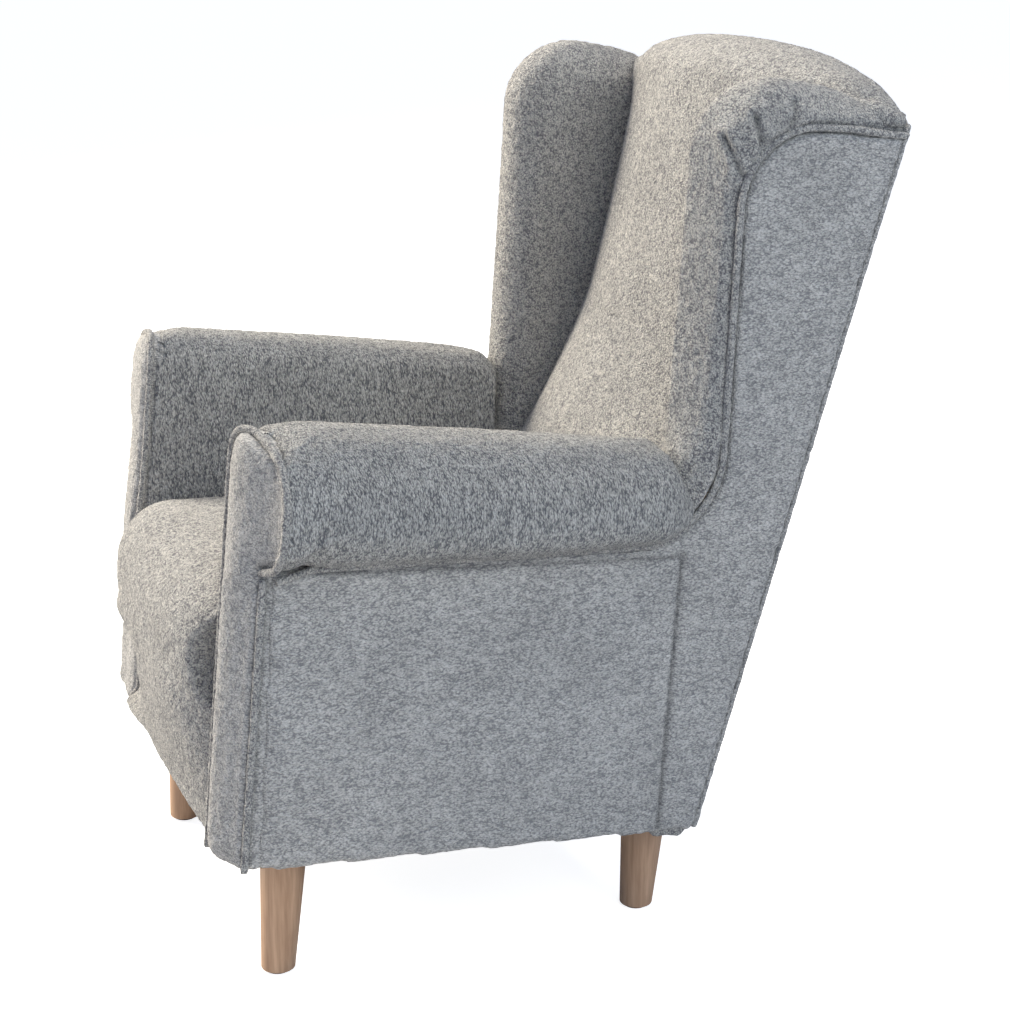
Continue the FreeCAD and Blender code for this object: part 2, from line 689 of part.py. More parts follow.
def stand_up():
    """Lean the body back, level the legs' feet, and centre the chair over the origin."""
    lean = math.atan2(front_leg_length - rear_leg_length, rear_leg_y - front_leg_y)
    lift = front_leg_length * math.cos(lean) + front_leg_y * math.sin(lean)
    turn = FreeCAD.Placement(Vector(0, 0, lift), FreeCAD.Rotation(Vector(1, 0, 0), -math.degrees(lean)))
    for name in parts:
        parts[name] = parts[name].transformed(turn.toMatrix())
    floor = block(-2 * far, 2 * far, -2 * far, 2 * far, -far, glide_thickness)
    glides = []
    for leg_name, y, length in (("front_leg", front_leg_y, front_leg_length),
                                ("rear_leg", rear_leg_y, rear_leg_length)):
        for side, sign in sides.items():
            name = leg_name + "_" + side
            leg = parts[name].cut(floor)
            foot = [edge for edge in leg.Edges if edge.BoundBox.ZMax < glide_thickness + fit]
            parts[name] = leg.makeFillet(leg_foot_round, foot)
            centre = turn.multVec(Vector(sign * leg_x, y, -length))
            glides.append(Part.makeCylinder(glide_diameter / 2, glide_thickness,
                                            Vector(centre.x, centre.y, 0)))
    parts["leg_glides"] = Part.makeCompound(glides)
    whole = Part.makeCompound(list(parts.values()))
    whole.tessellate(cloth / 6)
    whole = whole.BoundBox
    shift = Vector(0, -(whole.YMin + whole.YMax) / 2, 0)
    for name in parts:
        parts[name].translate(shift)
    print("lean", round(math.degrees(lean), 3), "lift", round(lift, 2), "shift", round(shift.y, 3))


make_frame()
make_suspension()
rooms = make_welts()
front_rooms = rooms["arm_front_welt"]
front_rooms = front_rooms.fuse(front_rooms.mirror(Vector(0, 0, 0), Vector(1, 0, 0)))
make_seat(front_rooms)
make_back()
make_arms(rooms["arm_front_welt"], rooms["side_front_welt"], rooms["wing_arm_welt"])
make_sides(rooms["side_front_welt"], rooms["wing_arm_welt"])
make_wings(rooms["wing_arm_welt"])
parts["outside_back_panel"] = raked_slab(0, cloth, 0, welt_top, -outer_x, outer_x)
make_legs()
stand_up()

os.makedirs("parts", exist_ok=True)
for name, shape in parts.items():
    shape.exportStep("parts/" + name + ".step")
    print(name, len(shape.Solids), round(shape.Volume), shape.isValid())
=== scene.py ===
"""An upholstered wing armchair in a short teddy pile, on four beech legs."""
import math

import bmesh
import bpy
import numpy as np
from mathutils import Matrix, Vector
from mathutils.bvhtree import BVHTree


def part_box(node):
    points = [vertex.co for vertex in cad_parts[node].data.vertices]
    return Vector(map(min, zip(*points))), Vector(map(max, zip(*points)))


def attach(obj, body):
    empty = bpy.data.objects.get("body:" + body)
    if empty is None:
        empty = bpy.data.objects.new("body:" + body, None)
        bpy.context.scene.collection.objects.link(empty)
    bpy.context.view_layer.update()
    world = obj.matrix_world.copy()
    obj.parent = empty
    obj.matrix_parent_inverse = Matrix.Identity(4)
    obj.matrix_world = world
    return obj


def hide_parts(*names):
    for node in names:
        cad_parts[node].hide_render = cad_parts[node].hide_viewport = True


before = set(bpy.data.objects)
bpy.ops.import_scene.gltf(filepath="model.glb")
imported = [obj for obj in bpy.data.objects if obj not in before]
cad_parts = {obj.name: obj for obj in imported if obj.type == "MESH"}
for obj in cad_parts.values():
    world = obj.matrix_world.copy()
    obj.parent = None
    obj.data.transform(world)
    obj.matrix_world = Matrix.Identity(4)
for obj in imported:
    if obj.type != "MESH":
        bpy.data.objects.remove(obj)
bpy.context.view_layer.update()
scene = bpy.context.scene
scene.view_settings.view_transform = "Standard"


# The camera looks a little down on the chair's left front corner, from nearly beside it, through a
# long lens.
TURN, TILT = math.radians(68.56), math.radians(16.27)
SENSOR_WIDTH = 36
IMAGE_WIDTH, FOCAL_PIXELS = 1010, 2209.14
look = Vector((-math.sin(TURN) * math.cos(TILT), math.cos(TURN) * math.cos(TILT), -math.sin(TILT)))
camera = bpy.data.objects.new("camera", bpy.data.cameras.new("camera"))
camera.location = (2.5411, -0.947907, 1.2673)
camera.rotation_euler = look.to_track_quat("-Z", "Y").to_euler()
camera.data.sensor_width = SENSOR_WIDTH
camera.data.lens = FOCAL_PIXELS / IMAGE_WIDTH * SENSOR_WIDTH
scene.collection.objects.link(camera)
scene.camera = camera


# The studio: a matt white floor that runs out of sight, a big warm softbox high on the chair's far
# front side, a cool one on its near side, a small one overhead, and pale blue light all round.
def linear(colour):
    """An sRGB hex colour, such as "b8b4ae", as linear RGBA."""
    channels = [int(colour[i:i + 2], 16) / 255 for i in (0, 2, 4)]
    return [c / 12.92 if c <= 0.04045 else ((c + 0.055) / 1.055) ** 2.4 for c in channels] + [1]


def add(owner, kind, settings=None, **inputs):
    """Adds a shader node: settings are its properties, inputs its socket values or links."""
    node = owner.node_tree.nodes.new("ShaderNode" + kind)
    for key, value in (settings or {}).items():
        setattr(node, key, value)
    for key, value in inputs.items():
        numbered = key[0] == "i" and key[1:].isdigit()
        socket = node.inputs[int(key[1:]) if numbered else key.replace("_", " ")]
        if isinstance(value, bpy.types.NodeSocket):
            owner.node_tree.links.new(value, socket)
        else:
            socket.default_value = value
    return node


def new_material(name):
    """A material with no nodes in it yet."""
    material = bpy.data.materials.new(name)
    material.use_nodes = True
    material.node_tree.nodes.clear()
    return material


def as_object(form, name):
    """Puts a bmesh that is done in an object of that name."""
    mesh = bpy.data.meshes.new(name)
    form.to_mesh(mesh)
    form.free()
    made = bpy.data.objects.new(name, mesh)
    scene.collection.objects.link(made)
    return made


# White emulsion paint, dead matt. The camera sees it glow as well, so that it runs into the white
# surround and keeps only the chair's shadow.
FLOOR_HALF = 40
white_floor = new_material("white_studio_floor")
rays = add(white_floor, "LightPath")
paint = add(white_floor, "BsdfDiffuse", Color=linear("d2d2d2"))
glow_level = add(white_floor, "Math", {"operation": "MULTIPLY"}, i0=rays.outputs["Is Camera Ray"], i1=0.88)
glow = add(white_floor, "Emission", Color=(1, 1, 1, 1), Strength=glow_level.outputs[0])
floor_shader = add(white_floor, "AddShader", i0=paint.outputs[0], i1=glow.outputs[0])
add(white_floor, "OutputMaterial", Surface=floor_shader.outputs[0])

form = bmesh.new()
bmesh.ops.create_grid(form, x_segments=1, y_segments=1, size=FLOOR_HALF)
floor = as_object(form, "floor")
floor.data.materials.append(white_floor)

# The surround lights the chair a pale blue, and is plain white to the camera, mirrors and glass.
surround = bpy.data.worlds.new("white_surround")
scene.world = surround
surround.use_nodes = True
surround.node_tree.nodes.clear()
rays = add(surround, "LightPath")
seen = add(surround, "Math", {"operation": "MAXIMUM"}, i0=rays.outputs["Is Camera Ray"],
           i1=rays.outputs["Is Glossy Ray"])
seen = add(surround, "Math", {"operation": "MAXIMUM"}, i0=seen.outputs[0],
           i1=rays.outputs["Is Transmission Ray"])
shade = add(surround, "Background", Color=linear("b4ceff"), Strength=0.36)
white = add(surround, "Background", Color=(1, 1, 1, 1))
either = add(surround, "MixShader", i0=seen.outputs[0], i1=shade.outputs[0], i2=white.outputs[0])
add(surround, "OutputWorld", Surface=either.outputs[0])

LIT_POINT = Vector((0, 0, 0.55))
for name, place, size, power, colour in (("front_softbox", (-3.2, -2.39, 2.7), 2.2, 460, "fff4e0"),
                                         ("side_softbox", (3.39, 0.3, 1.9), 2.4, 52, "f8ffff"),
                                         ("top_softbox", (0, 0.6, 3.4), 2.0, 55, "fff4e0")):
    lamp = bpy.data.objects.new(name, bpy.data.lights.new(name, "AREA"))
    lamp.data.size = size
    lamp.data.energy = power
    lamp.data.color = linear(colour)[:3]
    lamp.location = place
    lamp.rotation_euler = (LIT_POINT - Vector(place)).to_track_quat("-Z", "Y").to_euler()
    scene.collection.objects.link(lamp)


# The timber frame, which the covers hide: rails, posts and corner blocks of planed beech, glued and
# dowelled, with plywood boards that carry the wings and the scrolls of the arms.
def wood(name, grain, dark, light, roughness, relief_height):
    """Wood with its grain along the axis where grain is small."""
    timber = new_material(name)
    place = add(timber, "TexCoord").outputs["Object"]
    laid = add(timber, "Mapping", Vector=place, Scale=grain)
    fibre = add(timber, "TexNoise", Vector=laid.outputs[0], Scale=1 / GRAIN_WIDTH, Detail=5, Roughness=0.6)
    tone = add(timber, "ValToRGB", Fac=fibre.outputs["Fac"])
    tone.color_ramp.elements[0].position = 0.3
    tone.color_ramp.elements[0].color = linear(dark)
    tone.color_ramp.elements[1].position = 0.7
    tone.color_ramp.elements[1].color = linear(light)
    relief = add(timber, "Bump", Strength=0.2, Distance=relief_height, Height=fibre.outputs["Fac"])
    surface = add(timber, "BsdfPrincipled", Base_Color=tone.outputs[0], Roughness=roughness,
                  Normal=relief.outputs[0])
    add(timber, "OutputMaterial", Surface=surface.outputs[0])
    return timber


def finish(material, *starts):
    """Gives the material to the solids whose names start so."""
    for name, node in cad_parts.items():
        if name.startswith(starts):
            node.data.materials.clear()
            node.data.materials.append(material)


# The grain's streaks, 6 mm wide and some 17 times as long.
GRAIN_WIDTH = 0.00625
GRAIN_ALONG_X, GRAIN_ALONG_Y, GRAIN_ALONG_Z = (0.06, 1, 1), (1, 0.06, 1), (1, 1, 0.06)
# Planed beech, unfinished: pale tan and dull, with its grain along each member.
beech_across = wood("beech_planed_across", GRAIN_ALONG_X, "a9835a", "c9a77c", 0.7, 0.0004)
beech_deep = wood("beech_planed_deep", GRAIN_ALONG_Y, "a9835a", "c9a77c", 0.7, 0.0004)
beech_upright = wood("beech_planed_upright", GRAIN_ALONG_Z, "a9835a", "c9a77c", 0.7, 0.0004)
# Birch plywood, rotary cut: yellower and streaked, with dull sawn edges.
plywood = wood("birch_plywood", GRAIN_ALONG_Z, "b99b6c", "dcc394", 0.75, 0.0004)
finish(beech_across, "front_rail", "rear_rail", "top_rail", "lumbar_rail")
finish(beech_deep, "side_rail", "arm_rail")
finish(beech_upright, "corner_blocks", "front_post", "back_post")
finish(plywood, "arm_board", "wing_board")


# The suspension, also hidden: sinuous springs of hard-drawn wire in zinc-plated clips, a pressed felt
# over them, and elastic webbing stapled across the back.
def metal(name, dark, light, roughness, grain):
    """Bare metal with a fine pattern of the given scale per axis."""
    bare = new_material(name)
    place = add(bare, "TexCoord").outputs["Object"]
    laid = add(bare, "Mapping", Vector=place, Scale=grain)
    marks = add(bare, "TexNoise", Vector=laid.outputs[0], Scale=1, Detail=3)
    tone = add(bare, "ValToRGB", Fac=marks.outputs["Fac"])
    tone.color_ramp.elements[0].color = linear(dark)
    tone.color_ramp.elements[1].color = linear(light)
    rough = add(bare, "MapRange", Value=marks.outputs["Fac"], To_Min=roughness - 0.08,
                To_Max=roughness + 0.08)
    surface = add(bare, "BsdfPrincipled", Base_Color=tone.outputs[0], Metallic=1, Roughness=rough.outputs[0])
    add(bare, "OutputMaterial", Surface=surface.outputs[0])
    return bare


def matt(name, dark, light, roughness, grain, height):
    """A matt material with one noise pattern of that size in metres and bump of that height."""
    plain = new_material(name)
    place = add(plain, "TexCoord").outputs["Object"]
    grit = add(plain, "TexNoise", Vector=place, Scale=1 / grain, Detail=4)
    tone = add(plain, "ValToRGB", Fac=grit.outputs["Fac"])
    tone.color_ramp.elements[0].color = linear(dark)
    tone.color_ramp.elements[1].color = linear(light)
    relief = add(plain, "Bump", Strength=0.6, Distance=height, Height=grit.outputs["Fac"])
    surface = add(plain, "BsdfPrincipled", Base_Color=tone.outputs[0], Roughness=roughness,
                  Normal=relief.outputs[0])
    add(plain, "OutputMaterial", Surface=surface.outputs[0])
    return plain


# Hard-drawn carbon steel wire: dark and half bright, with drawing marks along it.
spring_steel = metal("drawn_spring_steel", "4c4c4e", "77777a", 0.45, (900, 60, 900))
# Pressed and turned steel, zinc plated: light grey, cloudy, half bright. Its spangle is 4 mm wide.
zinc_steel = metal("zinc_plated_steel", "8f9193", "b9bbbd", 0.4, (250, 250, 250))
# Pressed felt of grey waste fibre: lumpy every 3 mm, and quite dull.
felt = matt("pressed_felt", "404043", "6a6a6d", 0.95, 0.003, 0.001)
# Woven elastic webbing: black, with ribs 1.5 mm apart and a faint sheen.
webbing = matt("woven_webbing", "18181a", "38383b", 0.8, 0.0015, 0.0004)
finish(spring_steel, "seat_springs")
finish(zinc_steel, "spring_clips")
finish(felt, "seat_insulator")
finish(webbing, "back_webbing")


# The seat: springs, felt and foam under one cover that runs over the nose and down as the apron. The
# cover is pulled in beside each arm, where it is stitched down behind the arm's front.
LEAN = math.radians(4.073)
LIFT = 152.6
SHIFT = -54.007


def from_body(points):
    """Points of the leaning body's own frame, as points of the scene in metres.

    The body leans back on its shorter rear legs, so its pieces are shaped in millimetres with X
    across, Y to the rear and Z up from the underside of the body.
    """
    points = np.asarray(points, float).reshape(-1, 3)
    y = points[:, 1] * math.cos(LEAN) + points[:, 2] * math.sin(LEAN) + SHIFT
    z = points[:, 2] * math.cos(LEAN) - points[:, 1] * math.sin(LEAN) + LIFT
    return np.column_stack((points[:, 0], y, z)) / 1000


def to_body(points):
    """Scene points in metres, as body-frame points in millimetres."""
    points = np.asarray(points, float).reshape(-1, 3) * 1000
    y = points[:, 1] - SHIFT
    z = points[:, 2] - LIFT
    return np.column_stack((points[:, 0], y * math.cos(LEAN) - z * math.sin(LEAN),
                            y * math.sin(LEAN) + z * math.cos(LEAN)))


def points_of(piece, what="co"):
    """The piece's points, or with what set to normal their normals."""
    values = np.empty(len(piece.data.vertices) * 3)
    piece.data.vertices.foreach_get(what, values)
    return values.reshape(-1, 3)


def set_points(piece, points):
    """Moves the piece's points to these places, in metres."""
    piece.data.vertices.foreach_set("co", np.asarray(points, float).ravel())
    piece.data.update()


def smooth(value, low, high):
    """Runs softly from 0 at low to 1 at high."""
    t = np.clip((value - low) / (high - low), 0, 1)
    return t * t * (3 - 2 * t)


def settled(piece):
    """Works the piece's modifiers into its mesh."""
    view = bpy.context.evaluated_depsgraph_get()
    view.update()
    mesh = bpy.data.meshes.new_from_object(piece.evaluated_get(view))
    piece.modifiers.clear()
    old = piece.data
    piece.data = mesh
    bpy.data.meshes.remove(old)


def evened(piece, voxel):
    """Gives the piece an even mesh."""
    close = piece.modifiers.new("close", "REMESH")
    close.mode = "VOXEL"
    close.voxel_size = voxel
    settled(piece)


def largest_shell(piece):
    """Leaves only the largest connected shell of the mesh."""
    form = bmesh.new()
    form.from_mesh(piece.data)
    left = set(form.verts)
    biggest = set()
    while left:
        front = [left.pop()]
        shell = {front[0]}
        while front:
            vertex = front.pop()
            for edge in vertex.link_edges:
                other = edge.other_vert(vertex)
                if other in left:
                    left.remove(other)
                    shell.add(other)
                    front.append(other)
        biggest = max(biggest, shell, key=len)
    bmesh.ops.delete(form, geom=[v for v in form.verts if v not in biggest], context="VERTS")
    form.to_mesh(piece.data)
    form.free()


def over_solids(name, nodes, voxel=0.006, grow=0.0015, rounds=5):
    """One closed skin over copies of a piece's solids, softened, then grown to their outside again."""
    form = bmesh.new()
    for node in nodes:
        form.from_mesh(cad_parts[node].data)
    bmesh.ops.remove_doubles(form, verts=form.verts, dist=0.00002)
    piece = as_object(form, name)
    evened(piece, voxel)
    largest_shell(piece)
    soften = piece.modifiers.new("soften", "SMOOTH")
    soften.factor = 0.5
    soften.iterations = rounds
    full = piece.modifiers.new("grow", "DISPLACE")
    full.strength = grow
    full.mid_level = 0
    settled(piece)
    return piece


def filled(piece, held, cap, pressure=4.0, frames=20):
    """Fills the cover: cloth under pressure, held where held(body points) is near 1."""
    start = points_of(piece)
    group = piece.vertex_groups.new(name="held")
    weights = np.clip(held(to_body(start)), 0, 1)
    for index in np.flatnonzero(weights > 0.01):
        group.add([int(index)], float(weights[index]), "REPLACE")
    cloth = piece.modifiers.new("fill", "CLOTH")
    cloth.settings.quality = 3
    cloth.settings.mass = 0.25
    cloth.settings.tension_stiffness = 12
    cloth.settings.compression_stiffness = 12
    cloth.settings.shear_stiffness = 6
    cloth.settings.bending_stiffness = 0.6
    cloth.settings.use_pressure = True
    cloth.settings.uniform_pressure_force = pressure
    cloth.settings.vertex_group_mass = "held"
    cloth.settings.effector_weights.gravity = 0
    for number in range(1, frames + 1):
        scene.frame_set(number)
    settled(piece)
    scene.frame_set(1)
    step = points_of(piece) - start
    length = np.linalg.norm(step, axis=1, keepdims=True)
    set_points(piece, start + step * np.minimum(1, cap / np.maximum(length, 1e-9)))


def finer(piece):
    """Divides each face of the piece in four and rounds it."""
    fine = piece.modifiers.new("fine", "SUBSURF")
    fine.levels = fine.render_levels = 1
    settled(piece)


def to_line(points, line):
    """Distance of body-frame points to a line of straight runs."""
    nearest = np.full(len(points), 1e9)
    for start, end in zip(line[:-1], line[1:]):
        start, run = np.array(start, float), np.subtract(end, start)
        share = np.clip((points - start) @ run / (run @ run), 0, 1)
        nearest = np.minimum(nearest, np.linalg.norm(points - start - share[:, None] * run, axis=1))
    return nearest


def paint_seam_shade(piece, weight):
    """Paints shade along seams, creases and pipings, in the attribute that the material darkens by."""
    layer = piece.data.attributes.get("seam") or piece.data.attributes.new("seam", "FLOAT", "POINT")
    seam = np.empty(len(weight))
    layer.data.foreach_get("value", seam)
    layer.data.foreach_set("value", np.maximum(seam, weight))


# Millimetres from a seam: how far the cloth puffs up, and how wide the painted shade along it is.
PUFF_REACH = 13
SEAM_SHADE_WIDTH = 3


def pressed(piece, lines, depth, reach, puff=0, shade_strength=1):
    """Presses valleys of that depth into the cloth along lines, in millimetres, puffed up beside them."""
    points = points_of(piece)
    away = np.min([to_line(to_body(points), line) for line in lines], axis=0)
    step = puff * np.exp(-(away / PUFF_REACH) ** 2) - depth * np.exp(-(away / reach) ** 2)
    set_points(piece, points + points_of(piece, "normal") * step[:, None] / 1000)
    # Painted shade along the pressed lines.
    paint_seam_shade(piece, shade_strength * np.exp(-(away / SEAM_SHADE_WIDTH) ** 2))


def on_side(line, sign):
    """A line that is given on the left, for the left with sign 1 and for the right with -1."""
    return [(sign * x, y, z) for x, y, z in line]


# The size in metres of a clump and a tuft that stand in the surface, and the tuft's share in height.
CLUMP_SIZE, TUFT_SIZE, TUFT_SHARE = 0.0085, 0.0045, 0.6


def curly(piece, lumps=0.0026):
    """The pile's clumps and tufts stand in the surface itself."""
    for label, size, height in (("clumps", CLUMP_SIZE, lumps), ("tufts", TUFT_SIZE, lumps * TUFT_SHARE)):
        texture = bpy.data.textures.new(piece.name + "_" + label, "CLOUDS")
        texture.noise_scale = size
        texture.noise_depth = 1
        texture.noise_basis = "ORIGINAL_PERLIN"
        raised = piece.modifiers.new(label, "DISPLACE")
        raised.texture = texture
        raised.strength = height
        raised.mid_level = 0.5
    settled(piece)
    for polygon in piece.data.polygons:
        polygon.use_smooth = True


def dress(piece, nodes, material):
    """Covers a finished soft piece in the material, in place of the solids of these names."""
    piece.data.materials.clear()
    piece.data.materials.append(material)
    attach(piece, "root")
    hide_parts(*nodes)


# The cloth: a short curly teddy pile of polyester on a knitted back, warm light grey. The pile stands
# 3 to 5 mm high in tufts of 2 to 4 mm that lie where they were brushed, with dark gaps between them.
# In metres: the width of a tuft, of a clump of them, and of a patch that is brushed one way.
TUFT = 0.0026
CLUMP = 0.0075
PATCH = 0.09


def teddy(name, lay, gap, tip, stand):
    """The pile: lay stretches its tufts along X, Y and Z, gap and tip are its colours."""
    pile = new_material(name)
    place = add(pile, "TexCoord").outputs["Object"]
    drift = add(pile, "TexNoise", Vector=place, Scale=0.3 / TUFT, Detail=2)
    curled = add(pile, "VectorMath", {"operation": "MULTIPLY_ADD"}, i0=drift.outputs["Color"],
                 i1=(1.6 * TUFT,) * 3, i2=place)
    laid = add(pile, "Mapping", Vector=curled.outputs[0], Scale=[1 / s for s in lay])
    strands = add(pile, "TexNoise", Vector=laid.outputs[0], Scale=1.6 / TUFT, Detail=2, Roughness=0.6)
    tufts = add(pile, "TexVoronoi", {"feature": "F1"}, Vector=laid.outputs[0], Scale=1 / TUFT)
    clumps = add(pile, "TexNoise", Vector=laid.outputs[0], Scale=1 / CLUMP, Detail=2, Roughness=0.5)
    fibres = add(pile, "Math", {"operation": "MULTIPLY_ADD"}, i0=tufts.outputs["Distance"], i1=-0.62,
                 i2=strands.outputs["Fac"])
    height = add(pile, "Math", {"operation": "MULTIPLY_ADD"}, i0=clumps.outputs["Fac"], i1=0.6,
                 i2=fibres.outputs[0])
    tone = add(pile, "ValToRGB", Fac=height.outputs[0])
    ramp = tone.color_ramp
    ramp.elements[0].position = 0.28
    ramp.elements[0].color = linear(gap)
    ramp.elements[1].position = 0.74
    ramp.elements[1].color = linear(tip)
    middle = ramp.elements.new(0.47)
    middle.color = linear("b9b8b6")
    patches = add(pile, "TexNoise", Vector=place, Scale=1 / PATCH, Detail=3, Roughness=0.55)
    brushed = add(pile, "MapRange", Value=patches.outputs["Fac"], From_Min=0.3, From_Max=0.7, To_Min=0.95,
                  To_Max=1.1)
    # Painted shade: the cloth is darkened along seams, creases and pipings, where the attribute is set.
    seam = add(pile, "Attribute", {"attribute_name": "seam"})
    seam_shade_level = add(pile, "Math", {"operation": "MULTIPLY_ADD"}, i0=seam.outputs["Fac"], i1=-0.6, i2=1)
    level = add(pile, "Math", {"operation": "MULTIPLY"}, i0=brushed.outputs[0], i1=seam_shade_level.outputs[0])
    colour = add(pile, "VectorMath", {"operation": "SCALE"}, i0=tone.outputs[0], Scale=level.outputs[0])
    relief = add(pile, "Bump", Strength=1, Distance=stand, Height=height.outputs[0])
    cloth = add(pile, "BsdfPrincipled", Base_Color=colour.outputs[0], Roughness=0.9,
                Normal=relief.outputs[0], Specular_IOR_Level=0.2, Sheen_Weight=0.3, Sheen_Roughness=0.4)
    add(pile, "OutputMaterial", Surface=cloth.outputs[0])
    return pile


# Teddy pile lying every way, as on the seat, the back, the wings and the piping: soft, creamy at the
# tips and grey between them.
loose_pile = teddy("teddy_pile_loose", (1, 1, 1), "807f83", "eae7e1", 0.006)
seat_nodes = ("seat_cover", "seat_foam")
seat = over_solids("seat", seat_nodes, voxel=0.005)

# Body-frame millimetres: where the arms' inner faces stand, the nose's middle height and half height,
# how far the cover is pulled in at the nose's widest, and how deep it is tucked in there.
ARM_INSIDE, NOSE_MIDDLE, NOSE_HALF, PULLED_IN, TUCKED = 246, 219, 62, 45, 34
b = to_body(points_of(seat))
across = np.abs(b[:, 0])
in_height = np.sqrt(np.clip(1 - ((b[:, 2] - NOSE_MIDDLE) / NOSE_HALF) ** 2, 0, 1))
edge = ARM_INSIDE - PULLED_IN * in_height
hollow = smooth(across, edge + 2, edge + 8) * smooth(in_height, 0.0, 0.2)
b[:, 1] += TUCKED * hollow * smooth(b[:, 1], -290, -335)

# The apron's right half stands no further forward than a slanting line. The nose is a little flatter
# on that side and the hem turns out. Both of the top's front corners go back beside the arms.
APRON_FRONT, APRON_SWEEP = -391, 0.228
NOSE_FLATTER, HEM_OUT, CORNERS_BACK = 6, 8, 8
low = 1 - smooth(b[:, 2], 125, 165)
limit = APRON_FRONT + APRON_SWEEP * across
over = np.clip(limit - b[:, 1], 0, None) * (b[:, 0] < 0) * low * smooth(b[:, 2], 3, 16)
b[:, 1] += over * smooth(-b[:, 0], 0, 40)
b[:, 1] += NOSE_FLATTER * smooth(-b[:, 0], 20, 110) * smooth(b[:, 1], -300, -380)
b[:, 1] -= (HEM_OUT * smooth(-b[:, 0], 120, 200) * (1 - smooth(b[:, 2], 4, 18))
            * smooth(b[:, 1], -280, -330))
b[:, 1] += (CORNERS_BACK * smooth(across, 229, 245) * smooth(b[:, 1], -250, -300)
            * smooth(b[:, 2], 200, 280))
set_points(seat, from_body(b))
evened(seat, 0.005)
filled(seat, lambda p: (np.abs(p[:, 0]) > 241) * 1.0 + (p[:, 2] < 30) * 1.0
       + (np.abs(p[:, 0]) > 185) * (p[:, 1] < -290) * 1.0, cap=0.006)
finer(seat)

# The crease where the apron hangs from the nose.
crease = ((60, -396, 206), (110, -395, 200), (150, -391, 190), (185, -381, 171), (212, -366, 150))
for sign in (-1, 1):
    pressed(seat, [on_side(crease, sign)], 3.0, 14, shade_strength=0)
curly(seat)
dress(seat, seat_nodes, loose_pile)


# The inside back: a crowned pad between the wings, rolled over the top edge to the rear, where the
# cover is drawn outwards over the wings' tops and sewn down along a valley.
DROOP = 6


def drooped(b):
    """The covers' rear top corners hang a little: a change of height for body-frame points."""
    return (-DROOP * smooth(b[:, 1], 320, 410) * smooth(b[:, 2], 700, 850)
            * smooth(np.abs(b[:, 0]), 150, 290))


# The crest behind the top edge: by what share it is drawn wider, how many millimetres lower it lies,
# and how much lower again at its ends.
CREST_WIDER, CREST_LOWER, CREST_END_LOWER = 0.34, 3, 12
back_nodes = ("inside_back_cover", "back_foam")
valley = ((231, 339, 888), (262, 353, 888), (285, 364, 886), (296, 376, 882))
back = over_solids("inside_back", back_nodes)
b = to_body(points_of(back))
rear = smooth(b[:, 1], 285, 400) * smooth(b[:, 2], 820, 880) * smooth(np.abs(b[:, 0]), 120, 240)
b[:, 0] *= 1 + CREST_WIDER * rear
b[:, 2] += drooped(b) - (CREST_LOWER + CREST_END_LOWER * smooth(np.abs(b[:, 0]), 250, 325)) * rear
set_points(back, from_body(b))
filled(back, lambda p: (np.abs(p[:, 0]) > 241) * 1.0 + (p[:, 2] < 200) * 1.0, cap=0.006)
finer(back)
for sign in (-1, 1):
    pressed(back, [on_side(valley, sign)], 5, 9, shade_strength=0.5)
curly(back)
dress(back, back_nodes, loose_pile)


# The arms: a board and a rail inside, padded over the top and rolled outwards. The right one ends a
# little further back than the left.
def mirrored(piece, name):
    """The same piece for the other side of the chair."""
    form = bmesh.new()
    form.from_mesh(piece.data)
    bmesh.ops.scale(form, vec=(-1, 1, 1), verts=form.verts)
    bmesh.ops.reverse_faces(form, faces=form.faces)
    return as_object(form, name)


# How near to a piping the cloth is looked at, in metres.
NEAR = 0.02


def pressed_beside(piece, nodes, depth, reach, shade_strength=0.35):
    """Presses the cloth in where it meets these pipings, so that they lie in a valley."""
    points = points_of(piece)
    away = np.full(len(points), 1e9)
    for node in nodes:
        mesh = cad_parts[node].data
        tree = BVHTree.FromPolygons([v.co for v in mesh.vertices], [p.vertices for p in mesh.polygons])
        low, high = (np.array(corner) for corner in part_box(node))
        near = np.all((points > low - NEAR) & (points < high + NEAR), axis=1)
        for index in np.flatnonzero(near):
            found = tree.find_nearest(points[index], NEAR)
            if found[3] is not None:
                away[index] = min(away[index], found[3] * 1000)
    step = depth * (1 - smooth(away, 0, reach))
    set_points(piece, points - points_of(piece, "normal") * step[:, None] / 1000)
    # Painted shade beside the pipings.
    paint_seam_shade(piece, shade_strength * (1 - smooth(away, 1, 5)))


def softened(piece, chosen, rounds):
    """Evens out the shape round the points whose numbers are chosen."""
    group = piece.vertex_groups.new(name="chosen")
    group.add(chosen.tolist(), 1, "REPLACE")
    even = piece.modifiers.new("even", "SMOOTH")
    even.vertex_group = "chosen"
    even.iterations = rounds
    settled(piece)


# The right arm's front, from its foot up: heights in the body frame, and how many millimetres its
# inner and its outer edge stand further back than the left one's solid.
SET_BACK_HEIGHTS = (0, 6, 20, 100, 150, 240, 330, 430)
SET_BACK_INNER = (8, 12, 20, 20, 10, 7, 12, 13)
SET_BACK_OUTER = (7, 8, 8, 8, 6, 6, 9, 14)


def set_back(b):
    """How far the right arm's front stands back, for body-frame points."""
    inner = np.interp(b[:, 2], SET_BACK_HEIGHTS, SET_BACK_INNER)
    outer = np.interp(b[:, 2], SET_BACK_HEIGHTS, SET_BACK_OUTER)
    far = smooth(np.abs(b[:, 0]), 290, 329)
    return (inner + (outer - inner) * far) * smooth(b[:, 1], -240, -320)


def crowned(b, side):
    """How the arms' tops differ from the solids': a change of height for body-frame points."""
    front = smooth(b[:, 1], -280, -340)
    rise = 3 - 8 * front if side == "left" else -5 - 3 * front
    return rise * smooth(b[:, 2], 400, 480)


